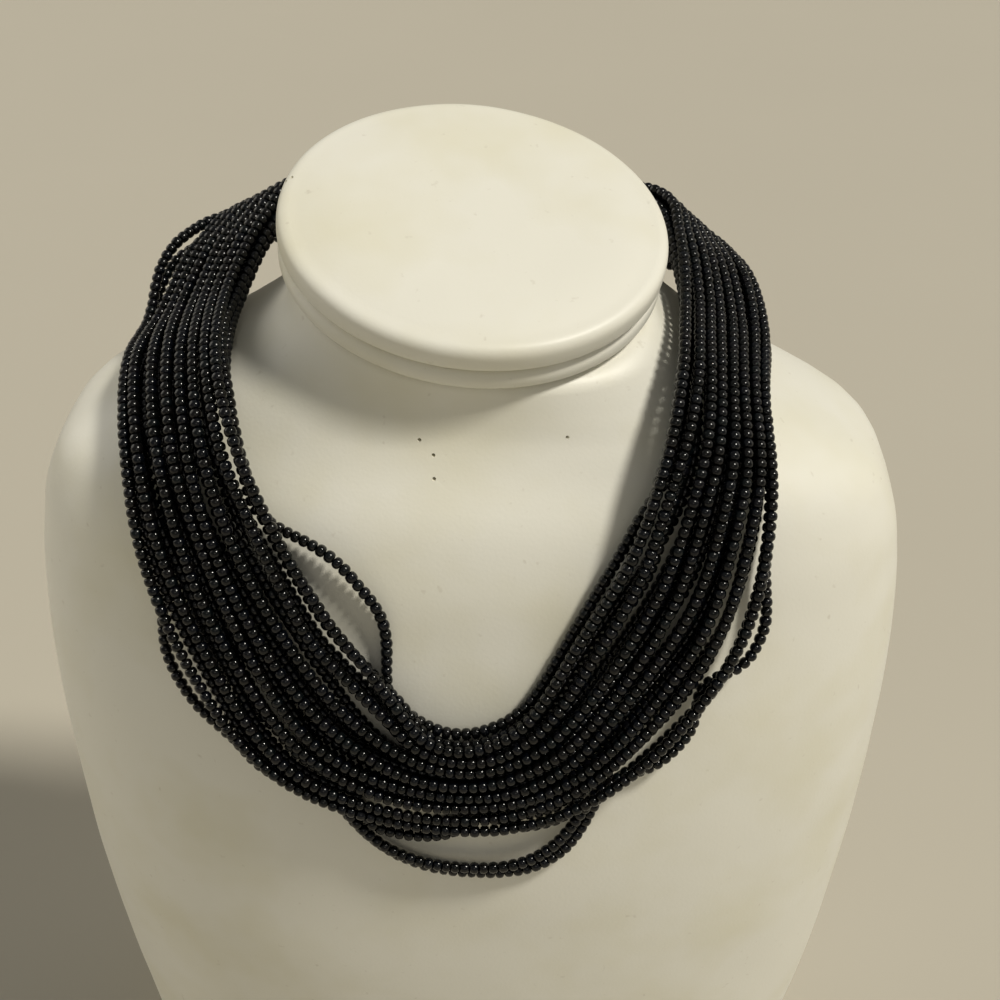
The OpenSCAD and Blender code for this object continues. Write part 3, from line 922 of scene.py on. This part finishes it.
def add_camera(scene):
    """The photo's camera, from its place, aim, roll and lens."""
    at, aim = Vector(CAMERA_AT) * MM, Vector(CAMERA_AIM) * MM
    back = (at - aim).normalized()
    right = Vector((0, 0, 1)).cross(back).normalized()
    up = back.cross(right)
    turned_right = right * math.cos(CAMERA_ROLL) + up * math.sin(CAMERA_ROLL)
    turned_up = back.cross(turned_right)
    data = bpy.data.cameras.new("photo camera")
    data.lens, data.sensor_width, data.sensor_fit = LENS, SENSOR, "HORIZONTAL"
    data.clip_start, data.clip_end = 0.01, 20
    camera = bpy.data.objects.new("photo camera", data)
    camera.matrix_world = Matrix.Translation(at) @ Matrix(
        (turned_right, turned_up, back)).transposed().to_4x4()
    scene.collection.objects.link(camera)
    scene.camera = camera


def add_lamp(scene, name, azimuth, elevation, strength, angle, colour):
    """A distant lamp that shines on the bust from an azimuth and an elevation in degrees."""
    data = bpy.data.lights.new(name, "SUN")
    data.energy, data.angle, data.color = strength, math.radians(angle), colour[:3]
    a, e = math.radians(azimuth), math.radians(elevation)
    towards = Vector((math.sin(a) * math.cos(e), -math.cos(a) * math.cos(e), math.sin(e)))
    lamp = bpy.data.objects.new(name, data)
    lamp.rotation_euler = towards.to_track_quat("Z", "Y").to_euler()
    lamp.location = towards
    scene.collection.objects.link(lamp)


class NECKLACE_OT_stage(bpy.types.Operator):
    """Set the floor, the soft light and the camera"""
    bl_idname = "necklace.stage"
    bl_label = "Stage"

    def execute(self, context):
        scene = context.scene
        settings = scene.necklace_stage
        half = FLOOR_HALF
        mesh = bpy.data.meshes.new("floor")
        mesh.from_pydata([(-half, -half, 0), (half, -half, 0), (half, half, 0), (-half, half, 0)], [],
                         [(0, 1, 2, 3)])
        mesh.materials.append(matt_floor(settings))
        floor = bpy.data.objects.new("floor", mesh)
        scene.collection.objects.link(floor)
        world = bpy.data.worlds.new("studio")
        world.use_nodes = True
        background = world.node_tree.nodes["Background"]
        background.inputs["Color"].default_value = linear("F0F0EA")
        background.inputs["Strength"].default_value = settings.fill
        scene.world = world
        for name, azimuth, elevation, part, angle, colour in LAMPS:
            add_lamp(scene, name, azimuth, elevation, settings.lamp * part, angle, linear(colour))
        add_camera(scene)
        scene.view_settings.view_transform = "Standard"
        return {"FINISHED"}


OPERATORS = (NECKLACE_OT_stage, NECKLACE_OT_bust, NECKLACE_OT_neck_top, NECKLACE_OT_strings,
             NECKLACE_OT_fastening)
SETTINGS = {"necklace_bust": BustSettings, "necklace_strings": StringSettings,
            "necklace_fastening": FasteningSettings, "necklace_stage": StageSettings}


class NECKLACE_PT_pieces(bpy.types.Panel):
    """Lists the pieces and their sizes and colours"""
    bl_label = "Necklace"
    bl_space_type = "VIEW_3D"
    bl_region_type = "UI"
    bl_category = "Necklace"

    def draw(self, context):
        for operator in OPERATORS:
            self.layout.operator(operator.bl_idname)
        for name, group in SETTINGS.items():
            box = self.layout.box()
            for field in group.__annotations__:
                box.prop(getattr(context.scene, name), field)


def register():
    for group in SETTINGS.values():
        bpy.utils.register_class(group)
    for name, group in SETTINGS.items():
        setattr(bpy.types.Scene, name, bpy.props.PointerProperty(type=group))
    for operator in OPERATORS:
        bpy.utils.register_class(operator)
    bpy.utils.register_class(NECKLACE_PT_pieces)


def unregister():
    bpy.utils.unregister_class(NECKLACE_PT_pieces)
    for operator in reversed(OPERATORS):
        bpy.utils.unregister_class(operator)
    for name, group in SETTINGS.items():
        delattr(bpy.types.Scene, name)
        bpy.utils.unregister_class(group)


def main():
    register()
    for operator in OPERATORS:
        getattr(bpy.ops.necklace, operator.bl_idname.split(".")[1])()


if __name__ == "__main__":
    main()
